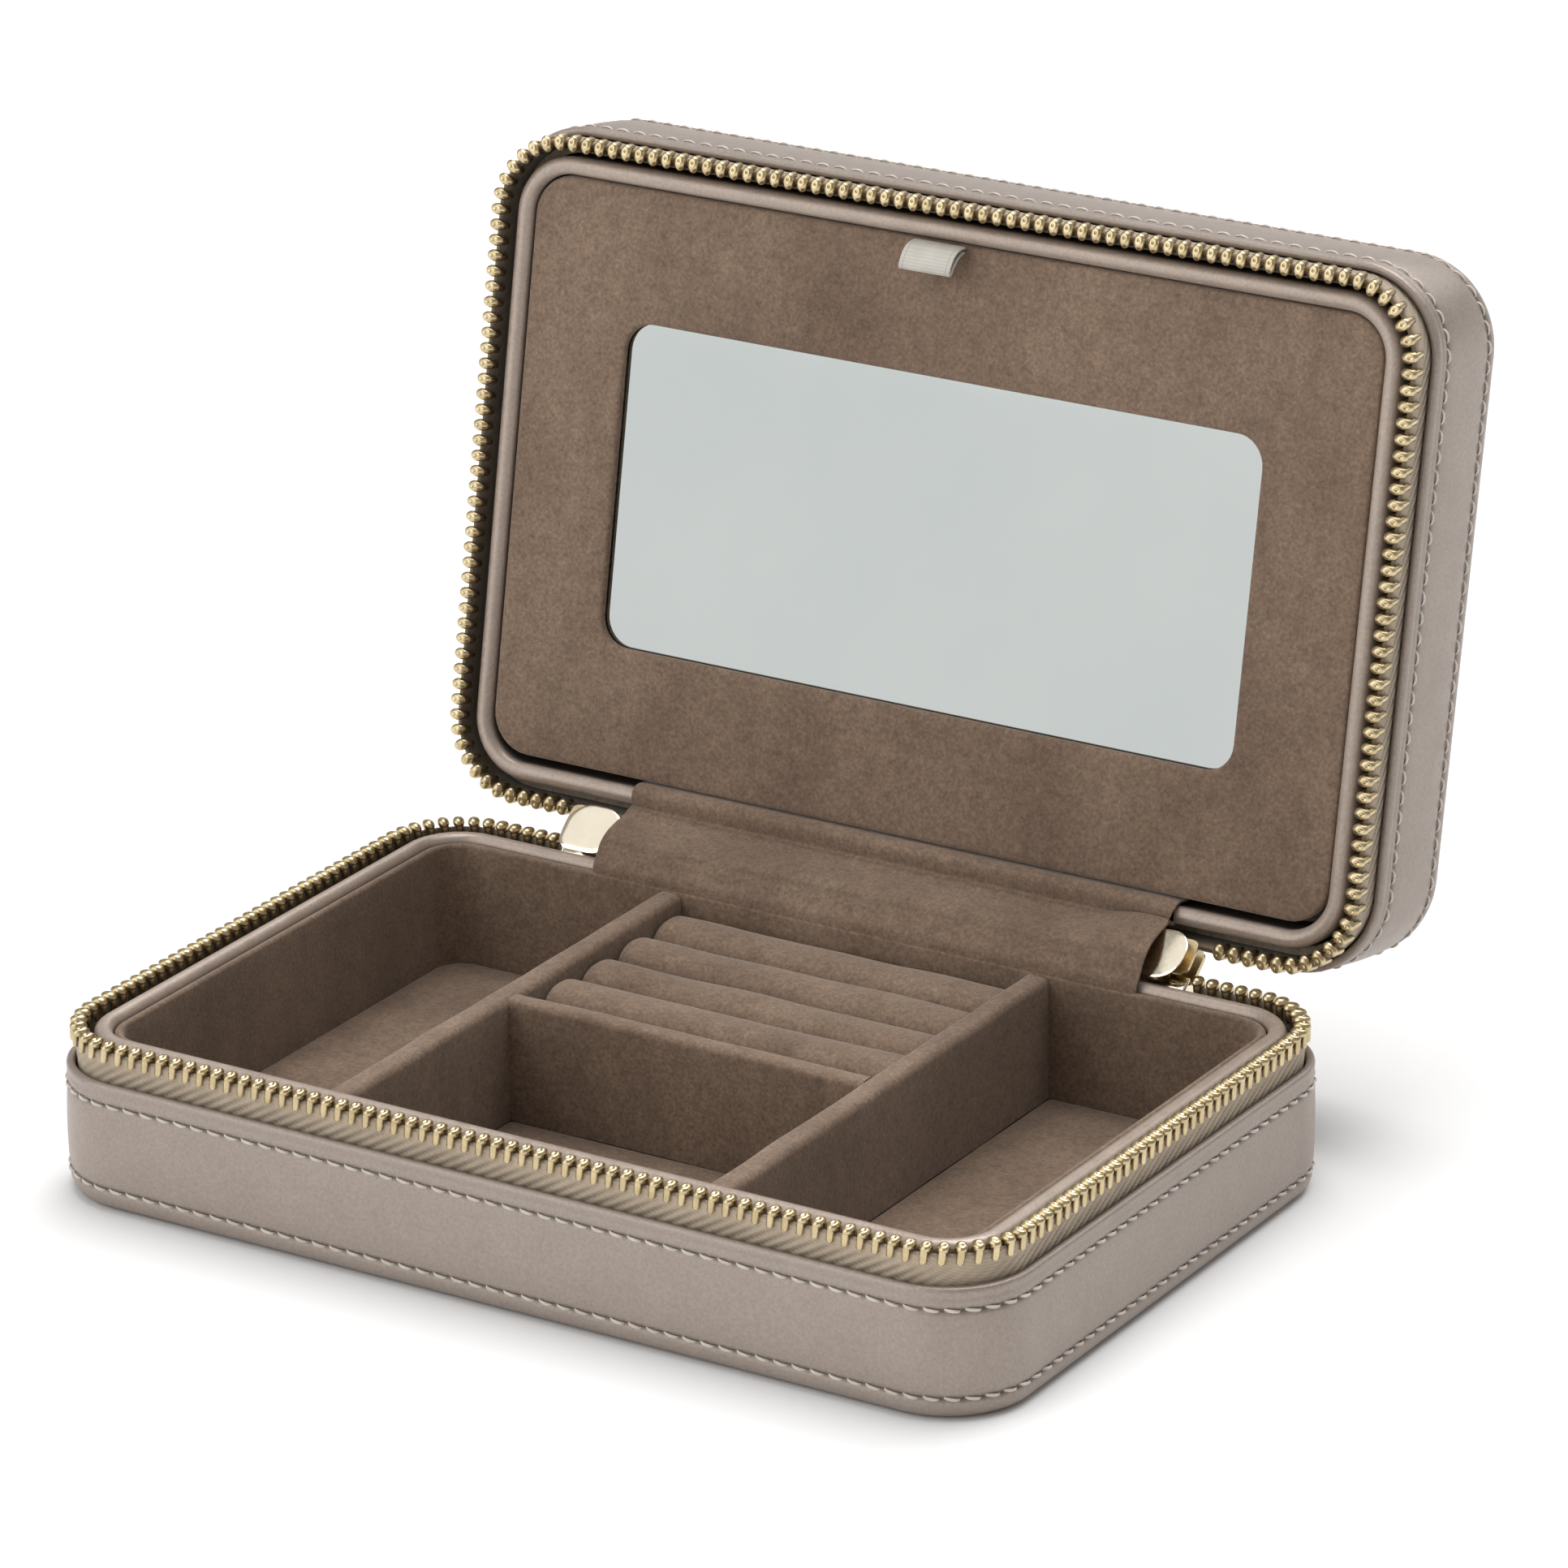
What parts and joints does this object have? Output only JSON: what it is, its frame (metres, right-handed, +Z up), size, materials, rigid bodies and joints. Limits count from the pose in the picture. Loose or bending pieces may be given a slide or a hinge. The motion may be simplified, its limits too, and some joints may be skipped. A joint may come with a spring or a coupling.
{
  "type": "travel jewelry case",
  "caption": "Zip-round travel jewelry case: leather shell, divided suede tray with ring rolls, and a hinged mirror panel over a pocket in the lid.",
  "frame": {"origin": "middle of the flat underside of the base", "axes": "+X to the right along the front, +Y back towards the hinge, +Z up"},
  "size_m": [0.165, 0.1558, 0.134],
  "materials": {
    "leather": "taupe smooth-grained leather with stitched edges",
    "rim_leather": "pale taupe smooth leather turned over the rims",
    "suede": "short-napped brown-taupe microsuede",
    "foam": "suede-covered foam",
    "board": "pressed greyboard",
    "zip_tape": "woven twill tape",
    "zip_brass": "polished pale gold plate",
    "steel": "plain steel",
    "magnet": "nickel-plated magnet",
    "mirror_glass": "silvered glass",
    "ribbon": "off-white grosgrain ribbon"
  },
  "bodies": {
    "base": {"base_leather_band": "leather", "base_outer_panel": "leather", "base_stiffener_board": "board", "base_wall_board": "board", "base_zip_tape": "zip_tape", "base_zip_teeth": "zip_brass", "base_left_zip_stop": "zip_brass", "base_right_zip_stop": "zip_brass", "tray_rim": "rim_leather", "tray_liner": "suede", "tray_floor_pad": "suede", "left_divider": "suede", "right_divider": "suede", "cross_divider": "suede", "ring_roll_bed": "foam", "ring_roll_1": "suede", "ring_roll_2": "suede", "ring_roll_3": "suede", "ring_roll_4": "suede", "outer_spine": "leather", "inner_hinge_strip": "suede"},
    "lid": {"lid_leather_band": "leather", "lid_outer_panel": "leather", "lid_stiffener_board": "board", "lid_wall_board": "board", "lid_zip_tape": "zip_tape", "lid_zip_teeth": "zip_brass", "lid_left_zip_stop": "zip_brass", "lid_right_zip_stop": "zip_brass", "lid_rim": "rim_leather", "lid_pocket_liner": "suede", "lid_pocket_back": "suede", "catch_ledge": "suede", "left_catch_magnet": "magnet", "right_catch_magnet": "magnet"},
    "mirror_panel": {"mirror_panel_front": "suede", "mirror_panel_spacer": "board", "mirror_glass": "mirror_glass", "mirror_panel_back": "suede", "panel_keeper_plate": "steel"},
    "tab": {"ribbon_tab": "ribbon"},
    "left_slider": {"left_slider_body": "zip_brass"},
    "left_puller": {"left_pull": "zip_brass", "left_pull_pin": "steel"},
    "right_slider": {"right_slider_body": "zip_brass"},
    "right_puller": {"right_pull": "zip_brass", "right_pull_pin": "steel"}
  },
  "joints": [
    {"name": "lid_hinge", "type": "hinge", "parent": "base", "child": "lid", "pos_m": [0, 0.0552, 0.027], "axis": [-1, 0, 0], "range_deg": [-100.36, 45], "deforming": ["outer_spine", "inner_hinge_strip"]},
    {"name": "mirror_panel_hinge", "type": "hinge", "parent": "lid", "child": "mirror_panel", "pos_m": [0, 0.05998, 0.03538], "axis": [1, 0, 0], "range_deg": [0, 75]},
    {"name": "ribbon_tab_fold", "type": "hinge", "parent": "mirror_panel", "child": "tab", "pos_m": [-0.0015, 0.07605, 0.12657], "axis": [-1, 0, 0], "range_deg": [-35, 15], "stiffness_Nm_per_rad": 0.0002},
    {"name": "left_slider_tilt", "type": "hinge", "parent": "base", "child": "left_slider", "pos_m": [0, 0.0552, 0.027], "axis": [-1, 0, 0], "range_deg": [-50.5, 23]},
    {"name": "left_pull_swing", "type": "hinge", "parent": "left_slider", "child": "left_puller", "pos_m": [-0.0512, 0.05699, 0.02485], "axis": [0, 0.7681, 0.6404], "range_deg": [-90, 60]},
    {"name": "right_slider_tilt", "type": "hinge", "parent": "base", "child": "right_slider", "pos_m": [0, 0.0552, 0.027], "axis": [-1, 0, 0], "range_deg": [-50.5, 23]},
    {"name": "right_pull_swing", "type": "hinge", "parent": "right_slider", "child": "right_puller", "pos_m": [0.0512, 0.05699, 0.02485], "axis": [0, -0.7681, -0.6404], "range_deg": [-90, 60]}
  ],
  "couplings": [
    {"joint": "left_slider_tilt", "follows": "lid_hinge", "ratio": 0.5},
    {"joint": "right_slider_tilt", "follows": "lid_hinge", "ratio": 0.5}
  ]
}
